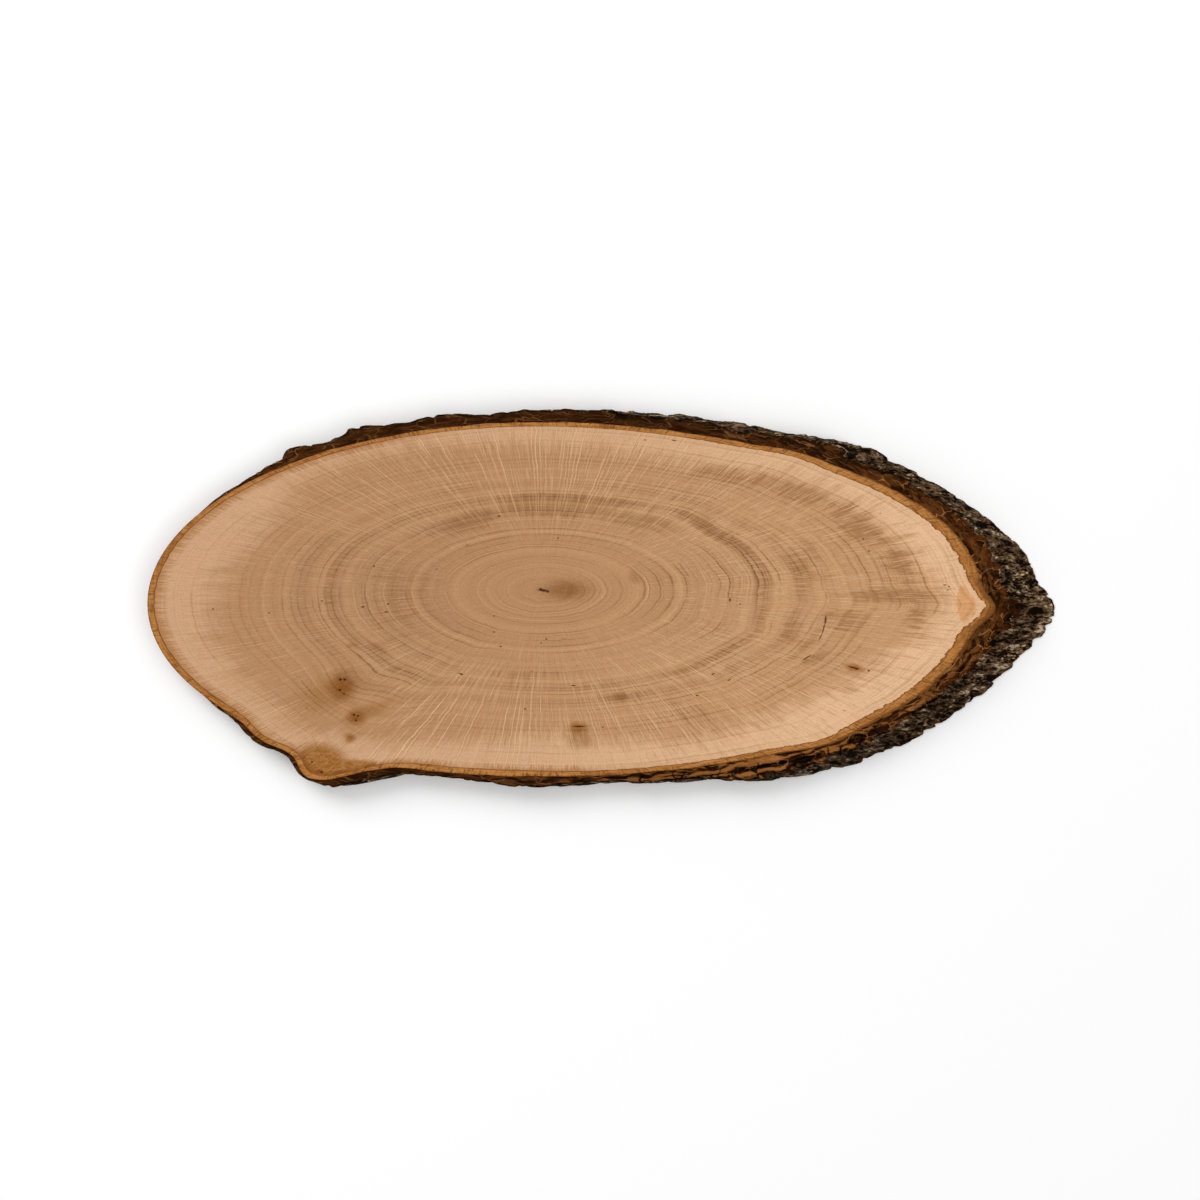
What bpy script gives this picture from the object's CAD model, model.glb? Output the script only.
"""Dresses the wood slice: sawn wood with rings, rays and knots, a golden inner bark and a rough outer bark.

The patterns are laid out in the trunk's own frame, which has its origin at the pith on the upper saw
cut and its +Z up the leaning trunk. So rings, rays, plates and furrows run on through the slice, and
both cuts and the edge belong together. The bark's shape follows the source's, with finer relief.
"""

from functools import lru_cache
from math import atan2, cos, exp, floor, hypot, pi, radians, sin, tan

import bmesh
import bpy
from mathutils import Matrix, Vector, noise


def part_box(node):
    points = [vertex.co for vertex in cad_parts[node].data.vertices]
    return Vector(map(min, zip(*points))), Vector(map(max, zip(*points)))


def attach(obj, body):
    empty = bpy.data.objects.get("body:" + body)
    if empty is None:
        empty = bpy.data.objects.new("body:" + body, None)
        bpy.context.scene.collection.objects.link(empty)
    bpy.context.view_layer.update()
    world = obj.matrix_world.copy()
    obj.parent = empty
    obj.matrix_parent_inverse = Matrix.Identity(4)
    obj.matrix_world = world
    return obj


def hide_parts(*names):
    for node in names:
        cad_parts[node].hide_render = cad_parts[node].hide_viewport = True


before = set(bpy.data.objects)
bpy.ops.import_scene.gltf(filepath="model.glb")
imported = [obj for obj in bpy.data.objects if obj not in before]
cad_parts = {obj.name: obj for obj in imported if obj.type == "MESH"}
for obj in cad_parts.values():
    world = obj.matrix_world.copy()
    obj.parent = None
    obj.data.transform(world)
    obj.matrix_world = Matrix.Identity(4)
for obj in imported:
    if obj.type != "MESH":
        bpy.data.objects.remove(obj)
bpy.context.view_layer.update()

BARK_SEED = 11
noise.seed_set(BARK_SEED)  # without it, the bends of the bark's furrows would be others in each run

MM = 0.001
WHITE = (1.0, 1.0, 1.0)

# The slice's shape, as in the source, with a sharper tip to the wood
SAW_TILT = radians(62)
TRUNK_RADIUS = 121 * MM
PITH_OFFSET = (-2.4 * MM, -10 * MM)
SWELLINGS = (  # angle round the pith from +X, height, half-width
    (radians(240), 18 * MM, radians(5.1)),
    (radians(229.5), 6 * MM, radians(6)),
    (radians(277), -8.5 * MM, radians(47)),
    (radians(311), 3 * MM, radians(5)),
    (radians(323), 10 * MM, radians(35)),
    (radians(14), 16 * MM, radians(37)),
    (radians(355), 4.6 * MM, radians(4.5)),
    (radians(49), 2 * MM, radians(6)),
)
INNER_BARK = (  # angle in degrees, thickness in mm
    (0, 3.2), (8, 3.6), (30, 3.7), (60, 3.0), (180, 2.2), (225, 2.8), (265, 4.2), (280, 3.2), (320, 3.6),
    (348, 3.6), (355, 2.7),
)
OUTER_BARK = (  # the same
    (0, 7.4), (8, 7.8), (24, 7.8), (33, 8.0), (41, 8.2), (46, 9.6), (55, 9.4), (60, 7.2), (66, 8.6),
    (80, 9.0), (92, 9.2), (100, 6.6), (106, 9.2), (111, 7.4), (119, 9.8), (125, 5.2), (130, 7.9), (135, 3.8),
    (145, 1.5), (158, 0.0), (212, 0.0), (218, 1.5), (231, 2.6), (240, 1.8), (244.5, 10.0), (250, 4.6),
    (256, 4.0), (261, 5.0), (268, 7.6), (275, 5.0), (279, 5.0), (283, 7.2), (287, 6.8), (290, 8.2),
    (295, 12.6), (300, 13.8), (305, 11.4), (311, 8.0), (318, 8.4), (326, 6.8), (334, 6.6), (342, 7.8),
    (350, 9.8), (355, 6.7),
)
LOWER_LOSSES = (  # where the outer bark is thinner on the underside: angle, loss, half-width
    (radians(24), 5 * MM, radians(17)),
    (radians(246), 7 * MM, radians(6)),
)
PLATE_WIDTH = 15 * MM
PLATE_LENGTH = 34 * MM
PLATE_BEND = 0.35  # how far the furrows wander, as a share of a plate
FURROW_WIDTH = 0.26  # as a share of a plate

# Shallower furrows than the source's, under finer relief, as shares of the outer bark's thickness
PLATE_TOP = 1.04
FURROW_DEPTH = 0.17
PLATE_STEP = 0.11

# The photograph's frame
PHOTO_SIZE = 1200
PHOTO_PITH = (545, 590)  # pixels from the upper left corner
PIXEL = 0.6623 * MM  # on the upper saw cut
CAMERA_HEIGHT = 2.0  # above the upper saw cut
SENSOR = 36.0


def bell(angle, centre, width):
    """A smooth bump round the trunk, 1 at its centre."""
    away = (angle - centre + pi) % (2 * pi) - pi
    return exp(-((away / width) ** 2))


def smooth_step(share):
    share = min(max(share, 0.0), 1.0)
    return share * share * (3 - 2 * share)


@lru_cache(maxsize=None)
def between(table, angle):
    """The thickness that a table of (degrees, mm) gives at an angle, eased from row to row."""
    degrees = angle * 180 / pi % 360
    if degrees < table[0][0]:
        degrees += 360
    rows = [*table, (table[0][0] + 360, table[0][1])]
    for (start, low), (end, high) in zip(rows, rows[1:]):
        if start <= degrees <= end:
            return (low + (high - low) * smooth_step((degrees - start) / (end - start))) * MM
    return rows[0][1] * MM


def swollen_radius(angle, swellings):
    """The trunk's radius inside its outer bark, with some of its swellings."""
    reach = TRUNK_RADIUS + PITH_OFFSET[0] * cos(angle) + PITH_OFFSET[1] * sin(angle)
    return reach + sum(height * bell(angle, centre, width) for centre, height, width in swellings)


@lru_cache(maxsize=None)
def inner_bark_radius(angle):
    """The outer edge of the inner bark, square to the trunk's axis."""
    return swollen_radius(angle, SWELLINGS)


def wood_radius(angle):
    return inner_bark_radius(angle) - between(INNER_BARK, angle)


# The pith on the upper saw cut: the wood's outline starts at its node's lowest corner
WOOD_LOW, WOOD_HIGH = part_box("wood")
THICKNESS = WOOD_HIGH[2] - WOOD_LOW[2]
TURN_STEPS = 720
TURN = [2 * pi * step / TURN_STEPS for step in range(TURN_STEPS)]
PITH = Vector((
    WOOD_LOW[0] - min(wood_radius(angle) * cos(angle) for angle in TURN) / cos(SAW_TILT),
    WOOD_LOW[1] - min(wood_radius(angle) * sin(angle) for angle in TURN),
    WOOD_HIGH[2],
))


def from_photo(x, y):
    """The point on the upper saw cut that a pixel of the photograph shows."""
    return PITH + Vector(((x - PHOTO_PITH[0]) * PIXEL, (PHOTO_PITH[1] - y) * PIXEL, 0))


def on_slice(radius, angle, height):
    """The point at this distance square from the trunk's axis, where a level cut at height meets it."""
    lean = (THICKNESS - height) * tan(SAW_TILT)
    along = lean + radius * cos(angle) / cos(SAW_TILT)
    return PITH + Vector((along, radius * sin(angle), height - THICKNESS))


def in_trunk(radius, angle, height):
    """The same point in the trunk's frame, with the source's sense: its third number grows down the trunk."""
    down = (THICKNESS - height) / cos(SAW_TILT) + radius * cos(angle) * tan(SAW_TILT)
    return Vector((radius * cos(angle), radius * sin(angle), down))


# Shader maths


class Wire:
    """A socket in a Python expression. Each operator adds the Math node that it stands for."""

    def __init__(self, finish, socket):
        self.finish = finish
        self.socket = socket

    def maths(self, operation, *values):
        return self.finish.node("Math", {"operation": operation}, dict(enumerate((self, *values))))

    def other(self, name):
        """Another output of the same node."""
        return Wire(self.finish, self.socket.node.outputs[name])

    def chance(self):
        """A random number for each cell of a Voronoi texture."""
        return self.finish.node("SeparateColor", inputs={0: self.other("Color")})

    def __add__(self, value):
        return self.maths("ADD", value)

    def __sub__(self, value):
        return self.maths("SUBTRACT", value)

    def __mul__(self, value):
        return self.maths("MULTIPLY", value)

    def __truediv__(self, value):
        return self.maths("DIVIDE", value)

    def __rsub__(self, value):
        return self.finish.node("Math", {"operation": "SUBTRACT"}, {0: value, 1: self})

    __radd__ = __add__


class Finish:
    """A material in the making."""

    def __init__(self, name, roughness, shine):
        self.material = bpy.data.materials.new(name)
        self.material.use_nodes = True
        self.tree = self.material.node_tree
        self.surface = self.tree.nodes["Principled BSDF"]
        self.surface.inputs["Metallic"].default_value = 0.0
        self.surface.inputs["Roughness"].default_value = roughness
        self.surface.inputs["Specular IOR Level"].default_value = shine
        self.place = self.node("TexCoord", output="Object")

    def node(self, kind, settings=None, inputs=None, output=0):
        """Adds a node, sets it, then gives its sockets their values or links."""
        made = self.tree.nodes.new("ShaderNode" + kind)
        for name, value in (settings or {}).items():
            setattr(made, name, value)
        for name, value in (inputs or {}).items():
            self.feed(made.inputs[name], value)
        return Wire(self, made.outputs[output])

    def feed(self, socket, value):
        if isinstance(value, Wire):
            self.tree.links.new(value.socket, socket)
        elif socket.type == "RGBA" and len(value) == 3:
            socket.default_value = (*value, 1.0)
        else:
            socket.default_value = value

    def trunk_frame(self):
        turn = {"Vector": self.place, "Location": PITH, "Rotation": (0, -SAW_TILT, 0)}
        return self.node("Mapping", {"vector_type": "TEXTURE"}, turn)

    def oval(self, centre, half, turn):
        """How far out in an ellipsoid a point is: 0 at its middle and 1 at its surface."""
        away = self.node("VectorMath", {"operation": "SUBTRACT"}, {0: self.place, 1: centre})
        if turn:
            axes = ((cos(turn) / half[0], sin(turn) / half[0], 0),
                    (-sin(turn) / half[1], cos(turn) / half[1], 0),
                    (0, 0, 1 / half[2]))
            away = self.joined(*(self.along_axis(away, axis) for axis in axes))
        else:
            away = self.stretch(away, [1 / length for length in half])
        return self.length(away)

    def along_axis(self, vector, axis):
        return self.node("VectorMath", {"operation": "DOT_PRODUCT"}, {0: vector, 1: axis}, output="Value")

    def nearest(self, ovals):
        """How far out a point is in the oval of the photograph that is nearest to it."""
        found = None
        for centre, half, turn in ovals:
            half_lengths = (half[0] * PIXEL, half[1] * PIXEL, KNOT_DEPTH)
            away = self.oval(from_photo(*centre), half_lengths, radians(turn))
            found = away if found is None else found.maths("MINIMUM", away)
        return found

    def attribute(self, name):
        return self.node("Attribute", {"attribute_name": name}, output="Fac")

    def length(self, vector):
        return self.node("VectorMath", {"operation": "LENGTH"}, {0: vector}, output="Value")

    def stretch(self, vector, scales):
        return self.node("VectorMath", {"operation": "MULTIPLY"}, {0: vector, 1: scales})

    def shift(self, vector, other):
        return self.node("VectorMath", {"operation": "ADD"}, {0: vector, 1: other})

    def parts(self, vector):
        apart = self.node("SeparateXYZ", inputs={0: vector})
        return apart, apart.other("Y"), apart.other("Z")

    def joined(self, x, y, z):
        return self.node("CombineXYZ", inputs={0: x, 1: y, 2: z})

    def step(self, value, low, high):
        """0 below low and 1 above high, smooth in between; the other way round if low is the larger."""
        ends = {"Value": value, "From Min": low, "From Max": high, "To Min": 0.0, "To Max": 1.0}
        return self.node("MapRange", {"interpolation_type": "SMOOTHSTEP"}, ends)

    def cloud(self, vector, scale, detail=2.0, roughness=0.5):
        inputs = {"Vector": vector, "Scale": scale, "Detail": detail, "Roughness": roughness}
        return self.node("TexNoise", inputs=inputs)

    def cells(self, vector, scale, feature="F1"):
        inputs = {"Vector": vector, "Scale": scale, "Randomness": 1.0}
        return self.node("TexVoronoi", {"feature": feature}, inputs)

    def lines(self, value):
        """Scattered points along a number line: the distance to the nearest one, in steps of 1."""
        inputs = {"W": value, "Randomness": 1.0, "Scale": 1.0}
        return self.node("TexVoronoi", {"voronoi_dimensions": "1D"}, inputs)

    def blend(self, share, first, second, mode="MIX"):
        mixing = {"data_type": "RGBA", "blend_type": mode, "clamp_factor": True}
        return self.node("Mix", mixing, {0: share, 6: first, 7: second}, output=2)

    def bump(self, height, distance):
        inputs = {"Height": height, "Distance": distance, "Strength": 1.0}
        self.feed(self.surface.inputs["Normal"], self.node("Bump", inputs=inputs))

    def colour(self, value):
        self.feed(self.surface.inputs["Base Color"], value)

    def roughness(self, value):
        self.feed(self.surface.inputs["Roughness"], value)


def tone(red, green, blue):
    """A colour as a screen shows it, from 0 to 255, as the light that it stands for."""
    return tuple(((part / 255 + 0.055) / 1.055) ** 2.4 if part > 10 else part / 255 / 12.92
                 for part in (red, green, blue))


# Wood

HEARTWOOD = tone(182, 137, 97)
SAPWOOD = tone(207, 164, 126)
PALE_SAPWOOD = tone(213, 171, 132)
RING_LINE = tone(122, 76, 40)
RING_LIGHT = tone(212, 166, 120)
RAY_LIGHT = tone(236, 194, 148)
RAY_SHADE = tone(140, 95, 58)
RIM_STAIN = tone(156, 100, 50)

# Factors on the colour, between which its tone varies
LEFT_SIDE = (0.92, 0.91, 0.90)
RIGHT_SIDE = (1.20, 1.23, 1.26)
GRAIN_DARK = (0.78, 0.77, 0.76)
GRAIN_LIGHT = (1.21, 1.22, 1.23)

# What stains leave of the colour under them
STAIN = (0.68, 0.60, 0.49)
KNOT_BROWN = (0.58, 0.38, 0.13)
KNOT_SHADE = (0.74, 0.60, 0.36)
KNOT_DARK = (0.16, 0.07, 0.02)
BURL_BROWN = (0.51, 0.31, 0.05)
SAW_ORANGE = (0.88, 0.69, 0.49)

RING_STEP = 2.1 * MM
FINE_RING_STEP = 0.8 * MM
LIGHT_RING_STEP = 4.6 * MM
RAYS = 370
FINE_RAYS = 1050
CUT_STRETCH = 2.1  # about how much longer than wide the slanting cut makes the trunk

# Ovals are given by their pixel of the photograph, half-lengths in pixels and turn in degrees
STAINS = (  # colour, strength, softness, ovals
    (KNOT_BROWN, 1.0, 1.0, (((342, 687), (17, 19), 0), ((356, 717), (13, 11), 0), ((578, 728), (13, 8), 0),
                            ((854, 668), (13, 6), -8), ((350, 738), (7, 6), 0))),
    (KNOT_SHADE, 0.75, 1.0, (((330, 692), (46, 22), 20), ((370, 711), (34, 9), 20), ((352, 646), (8, 4), 0),
                             ((566, 590), (24, 11), 0))),
    (STAIN, 0.80, 1.0, (((581, 740), (18, 12), 0), ((816, 658), (18, 6), 25), ((634, 578), (9, 6), -50),
                        ((378, 648), (14, 6), -30), ((620, 697), (14, 6), 0), ((568, 590), (36, 16), 0))),
    (BURL_BROWN, 1.0, 0.6, (((322, 765), (32, 24), -20), ((350, 768), (40, 10), 0))),
    (SAW_ORANGE, 1.0, 0.35, (((964, 604), (7, 19), 4), ((970, 606), (6, 12), 4))),
)
FLAMES = (  # feathered stains: an oval and its strength
    ((735, 476), (50, 9), -10, 1.0),
    ((800, 492), (40, 14), -16, 1.1),
    ((856, 522), (40, 20), -36, 1.0),
    ((902, 560), (24, 32), 24, 0.85),
    ((893, 596), (58, 9), -2, 1.1),
    ((918, 622), (16, 22), -10, 0.8),
    ((715, 530), (52, 15), -32, 0.9),
    ((757, 590), (17, 46), 4, 0.2),
    ((806, 566), (18, 34), 10, 0.8),
    ((845, 620), (30, 20), 10, 0.7),
    ((560, 505), (84, 14), 0, 1.3),
    ((470, 520), (50, 13), 16, 1.0),
    ((640, 520), (50, 14), -10, 1.0),
    ((620, 694), (46, 10), 2, 0.5),
    ((690, 712), (30, 12), -22, 0.7),
    ((700, 668), (60, 12), 22, 0.5),
    ((800, 640), (30, 26), 40, 0.6),
    ((520, 676), (76, 10), 0, 0.4),
    ((400, 600), (46, 70), 0, 0.4),
    ((330, 590), (40, 66), 0, 0.2),
    ((850, 692), (26, 7), 28, 0.8),
)
HEART_EDGE = (  # pixels along the ragged edge between the darker wood and the pale wood outside it
    (681, 463), (734, 472), (782, 478), (830, 493), (878, 524), (910, 552), (936, 585), (944, 602),
    (928, 629), (892, 655), (838, 686), (780, 712), (700, 741), (620, 741), (545, 734), (450, 740),
    (380, 742), (300, 728), (258, 694), (222, 650), (222, 590), (262, 536), (322, 472), (396, 451),
    (470, 445), (545, 446), (620, 452),
)
SPECKS = (  # ovals
    ((543, 590.5), (5.5, 1.3), -3),
    ((540.5, 589.5), (2.2, 1.8), 20),
    ((547.5, 591.5), (2.0, 1.3), 0),
    ((340.3, 679.7), (1.4, 1.3), 0),
    ((344.7, 679.7), (1.4, 1.3), 0),
    ((340, 690), (1.3, 1.3), 0),
    ((344, 694), (1.1, 1.1), 0),
    ((354, 715), (1.3, 1.1), 0),
    ((358, 716), (1.2, 1.1), 0),
    ((356, 720.5), (1.2, 1.1), 0),
    ((579, 726.5), (7, 0.8), 0),
    ((853, 667.5), (5.5, 0.9), -12),
    ((857, 668.8), (2.4, 1.0), 0),
    ((868.8, 670.8), (1.3, 1.1), 0),
    ((825.5, 620), (1.1, 5), -6),
    ((823.5, 629), (0.8, 6), -16),
    ((820.5, 637), (0.6, 5), -26),
    ((807, 657.5), (6, 0.8), 32),
    ((730, 600), (1.2, 1.8), 0),
    ((740, 604), (0.8, 0.8), 0),
    ((729, 680), (2.4, 0.8), 20),
    ((697, 695.5), (1.6, 0.8), 0),
    ((713, 674), (2.2, 0.8), 20),
    ((945, 585), (2.0, 0.7), 0),
    ((949, 586.5), (1.6, 0.7), 0),
    ((948, 590), (1.4, 0.6), 0),
    ((546.5, 639), (1.4, 0.7), 0),
    ((541, 643), (0.9, 0.7), 0),
    ((500.5, 646.5), (1.4, 0.7), -10),
    ((494, 616), (1.2, 0.7), 0),
    ((494, 632), (1.2, 0.8), 0),
    ((461, 674), (3.2, 0.9), -20),
    ((573.5, 685.5), (2.8, 0.7), 0),
    ((525, 709), (1.6, 0.7), 0),
    ((603, 727), (1.6, 0.6), 0),
    ((386, 612), (2, 0.8), 0),
    ((388, 604), (1.6, 0.8), 20),
    ((499, 516), (2, 0.9), 0),
    ((558, 538), (0.8, 1.4), -20),
    ((863, 539), (1.4, 0.7), 0),
    ((869, 551), (1.4, 0.7), 0),
    ((374, 566), (1.4, 0.9), 40),
    ((363, 607), (2, 0.8), 10),
    ((213, 609), (1.2, 0.8), 0),
    ((321.5, 772), (1.8, 1.3), 0),
    ((312, 762), (1.2, 1.0), 0),
    ((269, 613), (1.2, 0.6), 0),
    ((322, 601), (1.6, 0.7), 0),
    ((645, 440), (1.4, 0.6), 0),
    ((674, 440.5), (3, 0.6), -10),
)
OLD_YEARS = (  # dark lines along a ring: a pixel on it, its reach in degrees, half-width, strength
    ((748, 562), 46, 0.34 * MM, 1.00),
    ((743, 566), 34, 0.14 * MM, 0.55),
    ((757, 560), 30, 0.14 * MM, 0.45),
    ((690, 592), 26, 0.16 * MM, 0.40),
    ((684, 569), 9, 0.24 * MM, 0.65),
    ((799, 592), 24, 0.18 * MM, 0.50),
    ((829, 594), 18, 0.16 * MM, 0.45),
    ((891, 583), 16, 0.20 * MM, 0.45),
    ((925, 583), 11, 0.16 * MM, 0.30),
    ((600, 530), 34, 0.14 * MM, 0.30),
    ((470, 572), 30, 0.16 * MM, 0.30),
    ((411, 585), 24, 0.18 * MM, 0.45),
    ((318, 618), 18, 0.18 * MM, 0.45),
    ((367, 664), 9, 0.22 * MM, 0.65),
    ((400, 670), 7, 0.18 * MM, 0.50),
    ((309, 690), 4, 0.30 * MM, 0.50),
    ((660, 682), 22, 0.18 * MM, 0.45),
    ((560, 672), 28, 0.18 * MM, 0.35),
)
LIGHT_YEARS = (  # the same for light lines
    ((478, 592), 60, 0.20 * MM, 0.30),
    ((508, 592), 90, 0.14 * MM, 0.22),
    ((604, 590), 70, 0.14 * MM, 0.25),
    ((706, 592), 22, 0.24 * MM, 0.40),
    ((648, 596), 30, 0.16 * MM, 0.30),
    ((530, 620), 30, 0.16 * MM, 0.45),
)
KNOT_DEPTH = 7 * MM
BRANCH_AREA = ((342, 700), (62, 48), -35)  # where no rays show


def wood_finish():
    wood = Finish("sawn_wood", 0.6, 0.06)
    grown = wood.trunk_frame()
    across, side, along = wood.parts(grown)
    flat = wood.joined(across, side, 0.0)
    reach = wood.length(flat)
    outward = wood.node("VectorMath", {"operation": "NORMALIZE"}, {0: flat})
    ray_direction = wood.node("Attribute", {"attribute_name": "ray"}, output="Vector")
    ray_across, ray_side, _up = wood.parts(ray_direction)
    ring = wood.attribute("ring")
    rim = wood.attribute("rim")
    heart = wood.attribute("heart")
    right = wood.step(across, -20 * MM, 70 * MM)

    # Growth rings: thin dark lines, unevenly spaced, over broader light and dark years
    drift = wood.shift(wood.stretch(outward, (2.0, 2.0, 0)), wood.stretch(grown, (9, 9, 3)))
    wander = wood.cloud(drift, 1.0, 2.0)
    ripple = wood.cloud(wood.stretch(grown, (1, 1, 0.2)), 150.0, 2.0)
    years = ring + (wander - 0.5) * (2.2 * MM) + (ripple - 0.5) * (0.8 * MM + right * (0.5 * MM))
    line = wood.lines(years / RING_STEP)
    bold = wood.step(line.chance(), 0.25, 0.75)
    ring_fade = wood.step(wood.cloud(wood.stretch(grown, (1, 1, 0.3)), 30.0, 3.0), 0.30, 0.62)
    inner_rings = wood.step(ring, 100 * MM, 60 * MM)
    grown_up = 0.35 + wood.step(ring, 8 * MM, 46 * MM) * 0.65
    ring_line = wood.step(line, 0.16, 0.03) * (0.3 + bold * 0.7) * ring_fade
    ring_line = ring_line * (0.45 + inner_rings * 0.55) * grown_up
    late_wood = wood.step(line, 0.48, 0.05) * bold * (0.4 + ring_fade * 0.6) * grown_up
    fine_line = wood.step(wood.lines(years / FINE_RING_STEP), 0.30, 0.05)
    light_line = wood.lines(years / LIGHT_RING_STEP + 7.3)
    light_ring = wood.step(light_line, 0.09, 0.02) * wood.step(light_line.chance(), 0.35, 0.7) * ring_fade
    year_tone = wood.node("TexNoise", {"noise_dimensions": "1D"}, {"W": years, "Scale": 210.0, "Detail": 4.0})

    # Rays: light lines outwards from the pith, tall up the trunk, which bend a little and come and go
    bend = wood.cloud(wood.stretch(grown, (1, 1, 0.5)), 12.0, 2.0)
    wave = (bend - 0.5) * 0.05 + (ripple - 0.5) * 0.014
    turns = (ray_side.maths("ARCTAN2", ray_across) + wave) * (RAYS / (2 * pi))
    ray = wood.lines(turns)
    ray_gap = ray * reach * (2 * pi / RAYS)
    ray_life = wood.cloud(wood.joined(turns, reach * 14.0, along * 60.0), 1.0, 2.0)
    upright = wood.step(side.maths("ABSOLUTE") / reach, 0.25, 0.8)
    unknotted = wood.step(wood.nearest((BRANCH_AREA,)), 0.65, 1.15)
    ray_show = wood.step(ray_life, 0.42, 0.54) * wood.step(reach, 36 * MM, 84 * MM)
    ray_show = ray_show * (0.25 + upright * 0.65) * unknotted
    ray_line = wood.step(ray_gap, 0.34 * MM, 0.10 * MM) * ray_show * (0.20 + ray.chance() * 0.80)
    ray_edge = wood.step(ray_gap, 0.75 * MM, 0.35 * MM) * ray_show
    fine_turns = turns * (FINE_RAYS / RAYS)
    fine_gap = wood.lines(fine_turns) * reach * (2 * pi / FINE_RAYS)
    fine_life = wood.cloud(wood.joined(fine_turns, reach * 60.0, along * 90.0), 1.0, 1.0)
    hatch = wood.step(fine_gap, 0.24 * MM, 0.05 * MM) * wood.step(fine_life, 0.48, 0.62)
    hatch = hatch * wood.step(reach, 12 * MM, 60 * MM)
    flame = wood.cloud(wood.joined(ray_across * 34.0, ray_side * 34.0, reach * 24.0), 1.0, 4.0, 0.62)
    streak = wood.cloud(wood.joined(ray_across * 130.0, ray_side * 130.0, reach * 120.0), 1.0, 3.0, 0.6)

    # Broad colour: paler sapwood with a ragged inner edge, and brown stains in the older wood
    ragged = (flame - 0.5) * (22 * MM) + (streak - 0.5) * (16 * MM)
    sap = wood.step(heart + ragged, 7 * MM, -9 * MM)
    warmth = wood.step(across * CUT_STRETCH - side * 0.3, -0.12, 0.31)
    colour = wood.blend(sap, HEARTWOOD, wood.blend(warmth, SAPWOOD, PALE_SAPWOOD))
    patchy = wood.attribute("stained") + (flame - 0.5) * 1.3 + (streak - 0.5) * 1.2
    patchy = patchy + (year_tone - 0.5) * (0.45 + right * 0.75)
    colour = wood.blend(wood.step(patchy, 0.10, 0.80) * (0.85 - sap * 0.7), colour, STAIN, "MULTIPLY")
    year_dark = wood.step(year_tone, 0.50, 0.66) * (0.10 + inner_rings * 0.08) * grown_up
    colour = wood.blend(year_dark, colour, STAIN, "MULTIPLY")
    year_light = wood.step(year_tone, 0.50, 0.36) * (0.10 + inner_rings * 0.12) * grown_up
    colour = wood.blend(year_light, colour, RING_LIGHT)
    colour = wood.blend(1.0, colour, wood.blend(warmth, LEFT_SIDE, RIGHT_SIDE), "MULTIPLY")

    # Lines over it
    colour = wood.blend(late_wood * (0.16 + right * 0.12), colour, STAIN, "MULTIPLY")
    colour = wood.blend(ring_line * (0.62 + right * 0.26) * (1.0 - sap * 0.35), colour, RING_LINE)
    colour = wood.blend(fine_line * (0.08 + right * 0.08) * (0.3 + ring_fade * 0.7), colour, RING_LINE)
    colour = wood.blend(light_ring * 0.28, colour, RING_LIGHT)
    for drawn, line_colour in ((OLD_YEARS, RING_LINE), (LIGHT_YEARS, RAY_LIGHT)):
        mask = None
        for centre, degrees, half_width, strength in drawn:
            stretch = year_line(wood, ring, ripple, across, side, centre, degrees, half_width) * strength
            mask = stretch if mask is None else mask.maths("MAXIMUM", stretch)
        colour = wood.blend(mask * (0.4 + ring_fade * 0.6), colour, line_colour)
    colour = wood.blend(wood.step(streak, 0.52, 0.70) * (0.10 + right * 0.20), colour, RAY_SHADE)
    colour = wood.blend(ray_edge * 0.14, colour, RAY_SHADE)
    colour = wood.blend(ray_line * 0.60, colour, RAY_LIGHT)
    colour = wood.blend(hatch * (0.24 + right * 0.26), colour, RAY_LIGHT)

    # Short brown streaks just inside the cambium, on the left and below
    comb = wood.cloud(wood.joined(ray_across * 190.0, ray_side * 190.0, reach * 40.0), 1.0, 2.0)
    where = wood.step(wood.cloud(outward, 3.2, 1.0), 0.34, 0.50)
    lower_left = wood.step(across * 1.6 + side * 0.5, 0.015, -0.045)
    near_rim = wood.step(rim + (comb - 0.5) * (10 * MM), 3.8 * MM, 0.5 * MM)
    colour = wood.blend(near_rim * (0.30 + where * 0.70) * lower_left * 0.66, colour, RIM_STAIN)

    # Stains and specks by place
    mottle = wood.cloud(wood.stretch(wood.place, (1, 2.2, 1)), 260.0, 4.0, 0.65)
    for stain, strength, softness, ovals in STAINS:
        edge = wood.nearest(ovals) + (mottle - 0.5) * (0.9 * softness)
        mask = wood.step(edge, 1.15, 1.15 - 0.95 * softness)
        mask = mask * strength * (0.66 + wood.step(mottle, 0.30, 0.66) * 0.34)
        colour = wood.blend(mask, colour, stain, "MULTIPLY")
    pores = wood.cells(wood.stretch(grown, (1, 1, 0.12)), 95.0)
    pore = wood.step(pores, 0.050, 0.025) * wood.step(pores.chance(), 0.50, 0.60)
    speck = wood.step(wood.nearest(SPECKS) + (mottle - 0.5) * 0.9, 1.25, 0.45)
    dark = (pore * 0.55).maths("MAXIMUM", speck * 0.92)
    colour = wood.blend(dark, colour, KNOT_DARK, "MULTIPLY")

    # Fine grain, along the leaning fibres
    grain = wood.cloud(wood.stretch(grown, (1, 1, 0.35)), 1150.0, 3.0, 0.65)
    colour = wood.blend(1.0, colour, wood.blend(grain, GRAIN_DARK, GRAIN_LIGHT), "MULTIPLY")
    wood.colour(colour)
    wood.roughness(0.58 + grain * 0.12 - ray_line * 0.06)
    height = grain * 0.5 + ray_line * 0.9 + hatch * 0.5 + streak * 0.5 - ring_line * 0.7
    wood.bump(height, 0.25 * MM)
    return wood.material


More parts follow.
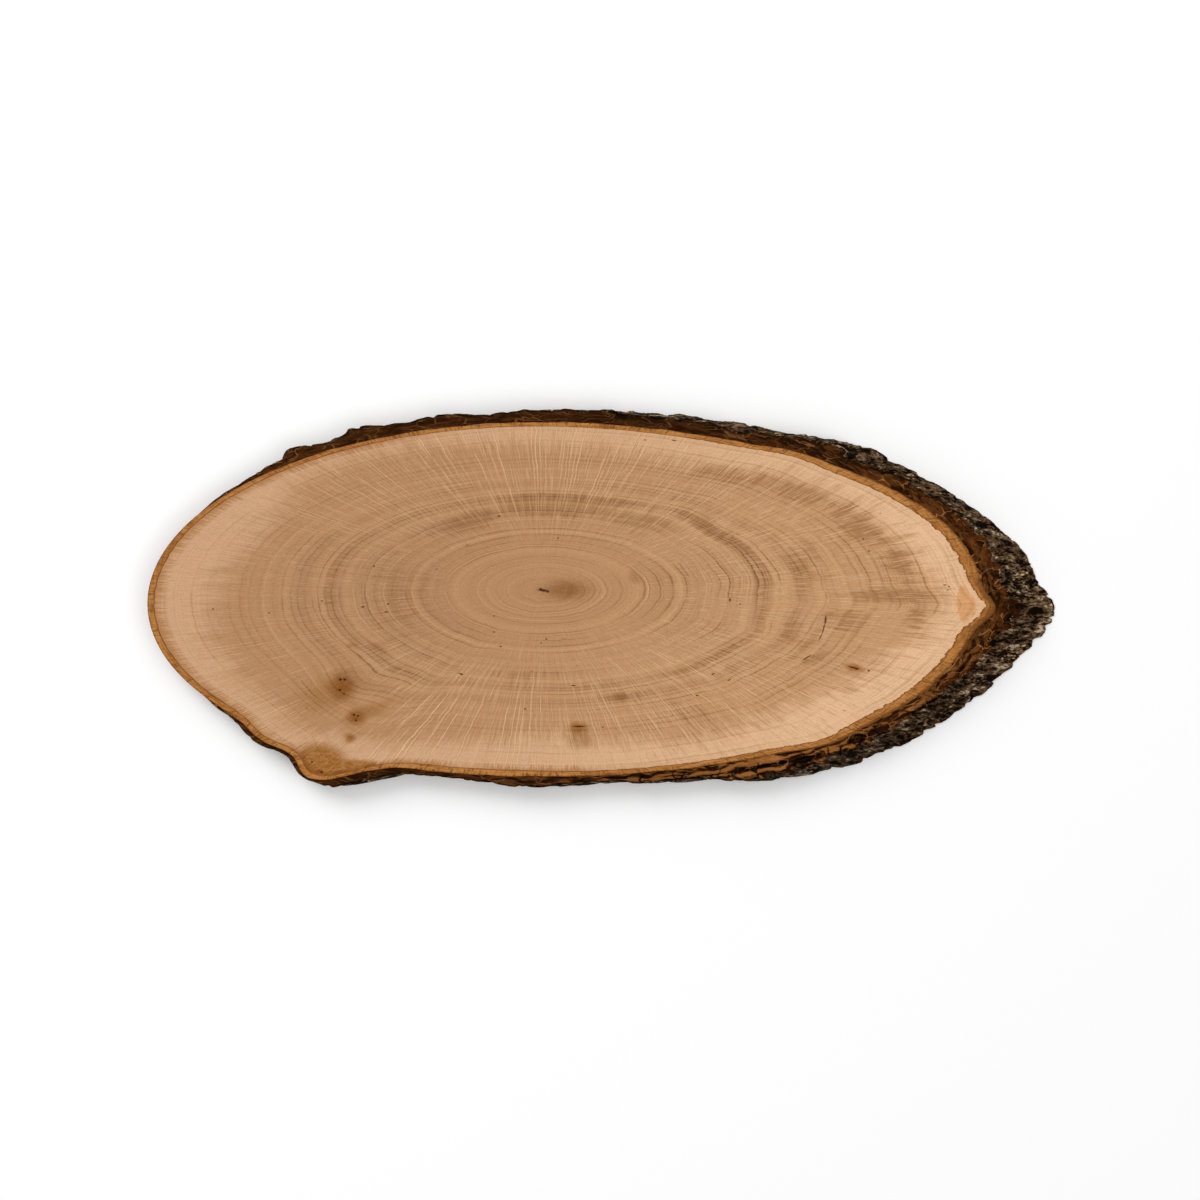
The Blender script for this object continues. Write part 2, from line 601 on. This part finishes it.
def year_line(wood, ring, ripple, across, side, centre, degrees, half_width):
    """A mask for a line along a year's ring, which passes a pixel of the photograph."""
    point = from_photo(*centre) - PITH
    point.x *= cos(SAW_TILT)
    angle = atan2(point.y, point.x)
    year = ring_value(from_photo(*centre), point.length, angle)
    facing = across * cos(angle) + side * sin(angle)
    beside = (side * cos(angle) - across * sin(angle)).maths("ARCTAN2", facing).maths("ABSOLUTE")
    stretch = wood.step(beside, radians(degrees), radians(degrees * 0.45))
    level = (ring + (ripple - 0.5) * (1.2 * MM) - year).maths("ABSOLUTE")
    return wood.step(level, half_width * 1.6, half_width * 0.3) * stretch


# Bark

INNER_GOLD = tone(176, 116, 56)
INNER_LIGHT = tone(194, 138, 78)
INNER_BROWN = tone(158, 99, 43)
INNER_DARK = tone(100, 58, 20)
SAWN_DARK = tone(38, 18, 5)
SAWN_BROWN = tone(78, 41, 14)
SAWN_RUST = tone(106, 60, 24)
SAWN_GOLD = tone(156, 100, 48)
LAYER_LINE = tone(168, 112, 62)
CRACK_BLACK = tone(8, 5, 3)
SKIN_DARK = tone(14, 8, 3)
SKIN_BROWN = tone(82, 59, 38)
SKIN_GREY = tone(124, 102, 78)
SKIN_PALE = tone(196, 174, 144)
LICHEN = tone(232, 186, 138)
TIP = radians(-4.5)  # where the wood's edge comes to a point, and bare bark runs out through the skin


def inner_bark_finish():
    """Golden bast, with fine layers, short dark marks across it and a dark line at either edge."""
    bast = Finish("inner_bark", 0.7, 0.08)
    grown = bast.trunk_frame()
    across, side, along = bast.parts(grown)
    reach = bast.length(bast.joined(across, side, 0.0))
    angle = side.maths("ARCTAN2", across)
    out = bast.attribute("out")
    wave = bast.cloud(grown, 140.0, 2.0)
    layers = bast.cloud(bast.joined(angle * 16.0, reach * 1300.0 + wave * 3.0, along * 8.0), 1.0, 2.0)
    marks = bast.cloud(bast.joined(angle * 210.0 + wave * 6.0, reach * 240.0, along * 20.0), 1.0, 2.0)
    patches = bast.cloud(grown, 34.0, 3.0)
    colour = bast.blend(bast.step(patches, 0.35, 0.65), INNER_BROWN, INNER_GOLD)
    colour = bast.blend(bast.step(layers, 0.46, 0.70) * 0.65, colour, INNER_LIGHT)
    colour = bast.blend(bast.step(layers, 0.46, 0.31) * 0.5, colour, INNER_DARK)
    colour = bast.blend(bast.step(marks, 0.53, 0.66) * 0.70, colour, INNER_DARK)
    colour = bast.blend(bast.step(marks, 0.46, 0.34) * 0.35, colour, INNER_LIGHT)
    colour = bast.blend(bast.step(out + (marks - 0.5) * 0.2, 0.20, 0.04) * 0.7, colour, INNER_DARK)
    colour = bast.blend(bast.step(out + (marks - 0.5) * 0.3, 0.78, 1.0) * 0.6, colour, INNER_DARK)
    colour = bast.blend(bast.step(across * CUT_STRETCH - side * 0.8, 0.0, -0.22) * 0.12, colour, INNER_DARK)
    tip = bast.step((angle - TIP).maths("ABSOLUTE"), 0.20, 0.07)
    colour = bast.blend(bast.step(out + (layers - 0.5) * 0.8, 0.38, 0.52) * tip * 0.70, colour, INNER_DARK)
    bast.colour(colour)
    bast.bump(layers * 0.6 - marks * 0.8, 0.4 * MM)
    return bast.material


def outer_bark_finish():
    """Sawn bark, dark red-brown with fine pale layer lines, and the grey weathered skin outside it."""
    bark = Finish("outer_bark", 0.9, 0.02)
    grown = bark.trunk_frame()
    across, side, along = bark.parts(grown)
    reach = bark.length(bark.joined(across, side, 0.0))
    angle = side.maths("ARCTAN2", across)
    skin = bark.attribute("skin")
    crack = bark.attribute("crack")
    lift = bark.attribute("lift")
    torn = bark.attribute("torn")

    # The sawn face
    waves = bark.cloud(grown, 110.0, 2.0)
    scales = bark.joined(angle * 13.0 + waves * 1.2, reach * 300.0 + waves * 1.8, along * 18.0)
    edge = bark.cells(scales, 1.0, "DISTANCE_TO_EDGE")
    cell = bark.cells(scales, 1.0)
    fibres = bark.cloud(bark.joined(angle * 42.0, reach * 1500.0 + waves * 3.0, along * 26.0), 1.0, 3.0, 0.6)
    browner = bark.step(cell.chance() * 0.55 + lift * 0.35 + (fibres - 0.5) * 0.5, 0.15, 0.80)
    sawn = bark.blend(browner, SAWN_DARK, SAWN_BROWN)
    sawn = bark.blend(bark.step(fibres + lift * 0.10, 0.55, 0.74) * 0.45, sawn, SAWN_RUST)
    sawn = bark.blend(bark.step(fibres, 0.45, 0.32) * 0.6, sawn, SAWN_DARK)
    sawn = bark.blend(bark.step(fibres, 0.37, 0.28) * 0.85, sawn, CRACK_BLACK)
    flakes = bark.step(lift + (fibres - 0.5) * 1.1, 0.50, 0.80) * torn
    sawn = bark.blend(flakes * 0.85, sawn, SAWN_GOLD)
    sawn = bark.blend(bark.step(lift + (fibres - 0.5) * 0.6, 0.44, 0.18) * torn * 0.9, sawn, CRACK_BLACK)
    show = bark.step(bark.cloud(grown, 90.0, 2.0), 0.42, 0.56)
    sawn = bark.blend(bark.step(edge, 0.050, 0.012) * show * (0.4 + cell.chance() * 0.6), sawn, LAYER_LINE)
    above = bark.step(side.maths("ABSOLUTE") / reach, 0.45, 0.95)
    sawn = bark.blend(above * (1.0 - torn) * 0.70, sawn, SAWN_DARK)

    # The weathered skin
    lumps = bark.cloud(bark.stretch(grown, (1, 1, 0.42)), 760.0, 4.0, 0.68)
    hollows = bark.cloud(bark.stretch(grown, (1, 1, 0.5)), 170.0, 2.0, 0.6)
    veins = (bark.cloud(bark.stretch(grown, (1, 1, 0.42)), 420.0, 2.0) - 0.5).maths("ABSOLUTE")
    patches = bark.cloud(grown, 60.0, 3.0)
    ridge = lift * 0.62 + bark.step(veins, 0.11, 0.0) * 0.36 + (lumps - 0.5) * 0.9 + (hollows - 0.5) * 1.5
    worn = bark.blend(bark.step(ridge, 0.22, 0.52), SKIN_DARK, SKIN_BROWN)
    worn = bark.blend(bark.step(ridge + (patches - 0.5) * 0.6, 0.50, 0.78) * 0.85, worn, SKIN_GREY)
    worn = bark.blend(bark.step(ridge + (patches - 0.5) * 0.8, 0.78, 1.02), worn, SKIN_PALE)
    specks = bark.cells(bark.stretch(grown, (1, 1, 0.5)), 460.0)
    crust = bark.step(specks, 0.40, 0.20) * bark.step(specks.chance(), 0.60, 0.68)
    worn = bark.blend(crust * bark.step(patches, 0.54, 0.62) * 0.8, worn, LICHEN)
    worn = bark.blend(torn * 0.55, worn, SKIN_DARK)

    ragged = bark.cloud(grown, 140.0, 4.0)
    tongue = bark.step((angle - TIP).maths("ABSOLUTE") + (ragged - 0.5) * 0.09, 0.055, 0.030)
    tongue = tongue * bark.step(skin, 0.99, 0.86)
    bare = tongue.maths("MAXIMUM", torn * bark.step(patches, 0.50, 0.60) * 0.8)
    outside = bark.step(skin - bare * 0.50 + (ragged - 0.5) * 1.6, 0.44, 0.54)
    sawn = bark.blend(tongue * 0.5, sawn, SAWN_DARK)
    colour = bark.blend(outside, sawn, worn)
    colour = bark.blend(bark.step(crack + (ragged - 0.5) * 0.4, 0.40, 0.80) * 0.92, colour, CRACK_BLACK)
    bark.colour(colour)
    bark.roughness(0.94 - outside * 0.06)
    bark.bump(lumps * 1.0 + fibres * 0.5 + edge * 0.4, 0.7 * MM)
    return bark.material


# Pieces

WOOD_TURN = 600
INNER_TURN = 1600
OUTER_TURN = 2100
UPPER_RINGS = 70
LOWER_RINGS = 24
SKIN_LEVELS = 21
SAWN_STEPS = 16
LOWER_STEPS = 5
INNER_STEPS = 6
INNER_LEVELS = 3
SHARP_EDGE = radians(58)

UNDER_BARK = 1.2 * MM  # the wood runs on below the edge of the inner bark
PROUD = 0.06 * MM  # and the inner bark's cut stands this much above it
TUCK = 0.25 * MM  # the outer bark starts this far inside the inner bark's edge
THINNEST = 0.1 * MM  # and it is nowhere thinner than this
PITH_OVAL = 1.06  # the youngest rings are this much longer along the slice
MEAN_RADIUS = 118 * MM
BROAD_SWELLINGS = [swelling for swelling in SWELLINGS if swelling[2] > radians(30)]
BRANCH = (  # the branch that the stub ends, as knots seen on the cut: pixel, pull on the rings, reach
    ((345, 688), 7 * MM, 15 * MM),
    ((357, 720), 6 * MM, 12 * MM),
    ((330, 750), 5 * MM, 12 * MM),
)
OLD_LINE = (  # pixels of the photograph along one year's line, whose waves the years near it share
    (600, 503), (649, 509), (670, 513), (691, 522), (712, 534), (733, 545), (748, 562), (758, 579),
    (757, 598), (755, 612), (748, 632),
)
OLD_LINE_REACH = 16 * MM
PITS = (  # pixel of the photograph, half-lengths in pixels, depth
    ((542, 590.2), (4.0, 1.1), 1.3 * MM),
    ((547, 591.2), (2.6, 1.1), 0.9 * MM),
    ((340.3, 679.7), (1.6, 1.5), 1.5 * MM),
    ((344.7, 679.7), (1.6, 1.5), 1.5 * MM),
    ((340, 690), (1.4, 1.4), 1.2 * MM),
    ((354, 715), (1.4, 1.4), 1.0 * MM),
    ((358, 716), (1.4, 1.4), 1.0 * MM),
    ((356, 720.5), (1.4, 1.2), 1.0 * MM),
    ((868.8, 670.8), (1.4, 1.3), 0.8 * MM),
    ((579, 726.5), (7, 0.9), 0.7 * MM),
)


def smooth_ring(radius, angle):
    """A point's age, as the radius of its growth ring: round near the pith, later like the rim."""
    rim = wood_radius(angle)
    share = min(radius / rim, 1.0)
    young = hypot(radius * cos(angle) / PITH_OVAL, radius * sin(angle))
    grown = young * (1 - share) + radius * share
    return grown / (1 + (rim / MEAN_RADIUS - 1) * share ** 1.4)


def by_angle(points, value):
    """A table for between: a value for each of some pixels of the photograph, by their angle in the trunk."""
    rows = []
    for point in points:
        away = from_photo(*point) - PITH
        away.x *= cos(SAW_TILT)
        rows.append((atan2(away.y, away.x) * 180 / pi % 360, value(away) / MM))
    return tuple(sorted(rows))


HEART_TABLE = by_angle(HEART_EDGE, lambda away: away.length)
OLD_TABLE = by_angle(OLD_LINE, lambda away: smooth_ring(away.length, atan2(away.y, away.x)))
OLD_YEAR = sum(value for _degrees, value in OLD_TABLE) / len(OLD_TABLE) * MM


def ring_value(point, radius, angle):
    """The ring's radius again, with the waves of the old year's line and the pull of the branch."""
    value = smooth_ring(radius, angle)
    old = between(OLD_TABLE, round(angle, 4))
    degrees = (angle * 180 / pi + 180) % 360 - 180
    facing = smooth_step((degrees + 36) / 12) * smooth_step((86 - degrees) / 12)
    value -= (old - OLD_YEAR) * facing * exp(-((value - old) / OLD_LINE_REACH) ** 2)
    for centre, pull, spread in BRANCH:
        away = point - from_photo(*centre)
        value -= pull * exp(-(away.x * cos(SAW_TILT) / spread) ** 2 - (away.y / spread) ** 2)
    return value


def ray_start(radius, angle):
    """The angle at which the ray through this point leaves the pith: a ray grows square to the rings."""
    rim = wood_radius(angle)
    ahead, behind = (swollen_radius(angle + step, BROAD_SWELLINGS) for step in (0.01, -0.01))
    slope = (ahead - behind) / 0.02
    return angle + slope / rim * min(radius / rim, 1.0) ** 1.4 / 1.4


def rolled(section, steps):
    """A sheet to be rolled up round the trunk, one row of vertices for each section point (out, up)."""
    shape = bmesh.new()
    bmesh.ops.create_grid(shape, x_segments=steps, y_segments=len(section) - 1, size=1)
    return shape


def where(vert, section):
    """A vertex of the flat sheet as its angle round the trunk, how far out it is and how far up."""
    row = round((vert.co.y + 1) / 2 * (len(section) - 1), 3)
    below = min(floor(row), len(section) - 2)
    out, up = Vector(section[below]).lerp(Vector(section[below + 1]), row - below)
    return round(vert.co.x * pi, 4), round(out, 5), round(up, 5)


def finished(name, shape, nodes, material):
    """Closes a rolled sheet along its meeting edges and makes it a piece of the slice."""
    bmesh.ops.remove_doubles(shape, verts=shape.verts[:], dist=1e-6)
    bmesh.ops.recalc_face_normals(shape, faces=shape.faces[:])
    mesh = bpy.data.meshes.new(name)
    shape.to_mesh(mesh)
    shape.free()
    mesh.materials.append(material)
    mesh.shade_smooth()
    mesh.set_sharp_from_angle(angle=SHARP_EDGE)
    piece = bpy.data.objects.new(name, mesh)
    bpy.context.scene.collection.objects.link(piece)
    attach(piece, "root")
    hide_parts(*nodes)
    return piece


def shares(steps):
    """From 0 to 1 in equal steps."""
    return [step / steps for step in range(steps + 1)]


def in_oval(place, centre, half, turn):
    """How far out in an oval of the photograph a place is: 0 at the middle, 1 at the edge."""
    away = place - from_photo(*centre)
    along = away.x * cos(radians(turn)) + away.y * sin(radians(turn))
    beside = away.y * cos(radians(turn)) - away.x * sin(radians(turn))
    return hypot(along / half[0], beside / half[1]) / PIXEL


def make_wood():
    """A disc whose rim runs on below the inner bark, with the pith's crack and the knots' holes in it."""
    section = [(out, 0.0) for out in shares(LOWER_RINGS)]
    section += [(out, 1.0) for out in reversed(shares(UPPER_RINGS))]
    shape = rolled(section, WOOD_TURN)
    pits = [(from_photo(*centre), half, depth) for centre, half, depth in PITS]

    def placed(vert):
        angle, out, up = where(vert, section)
        radius = out * (wood_radius(angle) + UNDER_BARK)
        return angle, radius, up, on_slice(radius, angle, up * THICKNESS)

    def near_pit(place):
        return any((place - centre).length < (half[0] + 7) * PIXEL for centre, half, _depth in pits)

    near = {vert for vert in shape.verts if near_pit(placed(vert)[3])}
    edges = [edge for edge in shape.edges if near.issuperset(edge.verts)]
    bmesh.ops.subdivide_edges(shape, edges=edges, cuts=2, use_grid_fill=True)

    ring_layer, rim_layer, flame_layer, heart_layer = (
        shape.verts.layers.float.new(name) for name in ("ring", "rim", "stained", "heart"))
    ray_layer = shape.verts.layers.float_vector.new("ray")
    for vert in shape.verts:
        angle, radius, up, place = placed(vert)
        above = on_slice(radius, angle, THICKNESS)
        vert[ring_layer] = ring_value(above, radius, angle)
        vert[rim_layer] = wood_radius(angle) - radius
        vert[flame_layer] = max(strength * (1.15 - in_oval(above, centre, half, turn))
                                for centre, half, turn, strength in FLAMES)
        vert[heart_layer] = between(HEART_TABLE, round(angle, 4)) - radius
        start = ray_start(radius, angle)
        vert[ray_layer] = Vector((cos(start), sin(start), 0))
        if up == 1:
            for centre, half, depth in pits:
                along = (place.x - centre.x) / (half[0] * PIXEL)
                beside = (place.y - centre.y) / (half[1] * PIXEL)
                place.z -= depth * exp(-hypot(along, beside) ** 2)
        elif up == 0:
            place.z += PROUD
        vert.co = place
    return finished("wood_slab", shape, ["wood"], wood_finish())


def cambium_wave(spot, angle):
    """The wood's edge, in small steps round the wide end."""
    step = noise.cell(Vector((angle * 60, spot.z * 30, 0)))
    step += 0.6 * noise.cell(Vector((angle * 130, spot.z * 30, 5)))
    wide_end = bell(angle, radians(-8), radians(60))
    return 0.42 * MM * (step - 0.8) * wide_end + 0.25 * MM * noise.noise(spot * 260)


def scallop(spot):
    """The wavy edge between the two barks."""
    distances, _centres = noise.voronoi(Vector((spot.x * 120, spot.y * 120, spot.z * 45)))
    return 1.0 * MM * (0.5 - distances[0])


def make_inner_bark():
    """A ring with a golden cut above and below, and its own outer side where the outer bark is worn off."""
    section = [(out, 0.0) for out in shares(INNER_STEPS)] + [(1.0, up) for up in shares(INNER_LEVELS)[1:]]
    section += [(out, 1.0) for out in reversed(shares(INNER_STEPS)[:-1])]
    section += [(0.0, up) for up in reversed(shares(INNER_LEVELS)[:-1])]
    shape = rolled(section, INNER_TURN)
    out_layer = shape.verts.layers.float.new("out")
    for vert in shape.verts:
        angle, out, up = where(vert, section)
        height = up * THICKNESS
        inside = wood_radius(angle)
        outside = inner_bark_radius(angle)
        spot = in_trunk(outside, angle, height)
        inside += cambium_wave(spot, angle)
        outside += scallop(spot) * smooth_step(between(OUTER_BARK, angle) / (2 * MM))
        vert.co = on_slice(inside + (outside - inside) * out, angle, height)
        if up == 1:
            vert.co.z += PROUD * (1 - out)
        vert[out_layer] = out
    return finished("inner_bark_ring", shape, ["bark"], inner_bark_finish())


def plate_relief(spot):
    """The outer bark's thickness as a share of its full one, and how deep in a crack the spot is."""
    spot = Vector((spot.x / PLATE_WIDTH, spot.y / PLATE_WIDTH, spot.z / PLATE_LENGTH))
    spot += PLATE_BEND * noise.noise_vector(spot * 2)
    distances, centres = noise.voronoi(spot)
    gap = distances[1] - distances[0]
    furrow = 1 - smooth_step(gap / FURROW_WIDTH)
    step = PLATE_STEP * noise.noise(centres[0] * 3)
    return PLATE_TOP - FURROW_DEPTH * furrow + step, 1 - smooth_step(gap / (0.4 * FURROW_WIDTH))


def skin_ridges(spot):
    """Sharp little ridges that run up the trunk, from 0 in their valleys to 1."""
    warped = spot + 2.0 * MM * noise.noise_vector(spot * 130)
    broad = 1 - abs(noise.noise(Vector((warped.x * 210, warped.y * 210, warped.z * 95)))) * 2.4
    narrow = 1 - abs(noise.noise(Vector((warped.x * 700, warped.y * 700, warped.z * 330)))) * 2.2
    return min(max(0.6 * broad + 0.4 * narrow, 0.0), 1.0)


def torn(angle):
    """How torn the saw left the bark: most below the wide end."""
    return 0.12 + 0.88 * bell(angle, radians(302), radians(30))


def torn_layers(radius, angle, spot):
    """Broken layers on the sawn face, from 0 in their hollows to 1."""
    wave = noise.noise(spot * 90)
    level = noise.noise(Vector((angle * 8 + wave, radius * 500 + wave * 1.6, spot.z * 12))) * 2.6 + 1.3
    whole = floor(level)
    terrace = whole + smooth_step((level - whole - 0.25) / 0.35)
    return min(max(terrace / 2.6 + 0.12 * noise.noise(spot * 700), 0.0), 1.0)


def make_outer_bark():
    """A ring with torn layers on its cuts, and plates, furrows and ridges on its outer side."""
    section = [(out, 0.0) for out in shares(LOWER_STEPS)] + [(1.0, up) for up in shares(SKIN_LEVELS)[1:]]
    section += [(out, 1.0) for out in reversed(shares(SAWN_STEPS)[:-1])] + [(0.0, 0.5), (0.0, 0.0)]
    shape = rolled(section, OUTER_TURN)
    skin_layer, crack_layer, lift_layer, torn_layer = (
        shape.verts.layers.float.new(name) for name in ("skin", "crack", "lift", "torn"))
    for vert in shape.verts:
        angle, out, up = where(vert, section)
        height = up * THICKNESS
        inner = inner_bark_radius(angle)
        lost = sum(loss * bell(angle, centre, width) for centre, loss, width in LOWER_LOSSES)
        thick = max(between(OUTER_BARK, angle) - lost * (1 - up), 0.0)
        full = smooth_step(thick / (5 * MM))
        spot = in_trunk(inner, angle, height)
        share, furrow = plate_relief(spot)
        ridges = skin_ridges(spot)
        inside = inner + scallop(spot) * smooth_step(thick / (2 * MM)) - TUCK
        rough = (0.30 * (ridges - 0.45) + 0.12 * noise.noise(spot * 900)) * full * MM
        outside = max(inner + (thick - TUCK) * share + rough, inside + THINNEST)
        radius = inside + (outside - inside) * out
        place = on_slice(radius, angle, height)
        here = in_trunk(radius, angle, height)
        roughness = torn(angle)
        if up in (0.0, 1.0):
            layers = torn_layers(radius, angle, here)
            _share, split = plate_relief(here)
            split *= smooth_step(1.8 * out) * (0.5 + 0.5 * roughness)
            edge = smooth_step((out - 0.72) / 0.28)
            sunk = 0.15 + 3.0 * roughness * (1 - layers) + 1.6 * split + 1.5 * edge ** 2
            sunk = min(sunk, 3.4) * MM * smooth_step(thick / (2.5 * MM))
            place.z += -sunk if up == 1.0 else 0.3 * sunk
            vert[crack_layer] = split
            vert[skin_layer] = edge * 0.5 * up
            vert[lift_layer] = layers * (1 - edge) + ridges * edge
        else:
            vert[crack_layer] = furrow * 0.8
            vert[skin_layer] = 0.75 + 0.25 * smooth_step((1 - up) / 0.35)
            vert[lift_layer] = ridges
        vert[torn_layer] = roughness
        vert.co = place
    return finished("outer_bark_ring", shape, ["bark"], outer_bark_finish())


# Setting

FLOOR_SIZE = 12
FLOOR_COLOUR = (0.97, 0.97, 0.97, 1.0)
SKY_STRENGTH = 0.74
LIGHTS = (  # name, place, size, energy
    ("key", (-1.5, 1.5, 1.5), 1.6, 32.0),
    ("fill", (1.6, -1.2, 2.4), 2.0, 10.0),
)


def make_floor():
    bpy.ops.mesh.primitive_plane_add(size=FLOOR_SIZE, location=(0, 0, 0))
    floor_plane = bpy.context.object
    floor_plane.name = "floor"
    finish = Finish("floor", 0.9, 0.1)
    finish.surface.inputs["Base Color"].default_value = FLOOR_COLOUR
    floor_plane.data.materials.append(finish.material)


def make_light(name, place, size, energy):
    """A round lamp that faces the slice."""
    light = bpy.data.lights.new(name, "AREA")
    light.shape = "DISK"
    light.size = size
    light.energy = energy
    lamp = bpy.data.objects.new(name, light)
    lamp.location = place
    lamp.rotation_euler = (Vector((0, 0, 0)) - Vector(place)).to_track_quat("-Z", "Y").to_euler()
    bpy.context.scene.collection.objects.link(lamp)


def make_studio():
    world = bpy.data.worlds.new("studio")
    world.use_nodes = True
    background = world.node_tree.nodes["Background"]
    background.inputs["Color"].default_value = (*WHITE, 1.0)
    background.inputs["Strength"].default_value = SKY_STRENGTH
    bpy.context.scene.world = world
    for light in LIGHTS:
        make_light(*light)
    bpy.context.scene.view_settings.view_transform = "Standard"


def make_camera():
    """Straight down over the middle of the photograph."""
    camera = bpy.data.cameras.new("photo_view")
    camera.sensor_width = SENSOR
    camera.lens = SENSOR * CAMERA_HEIGHT / (PHOTO_SIZE * PIXEL)
    seen = bpy.data.objects.new("photo_view", camera)
    seen.location = from_photo(PHOTO_SIZE / 2, PHOTO_SIZE / 2) + Vector((0, 0, CAMERA_HEIGHT))
    bpy.context.scene.collection.objects.link(seen)
    bpy.context.scene.camera = seen


make_camera()
make_wood()
make_inner_bark()
make_outer_bark()
make_floor()
make_studio()
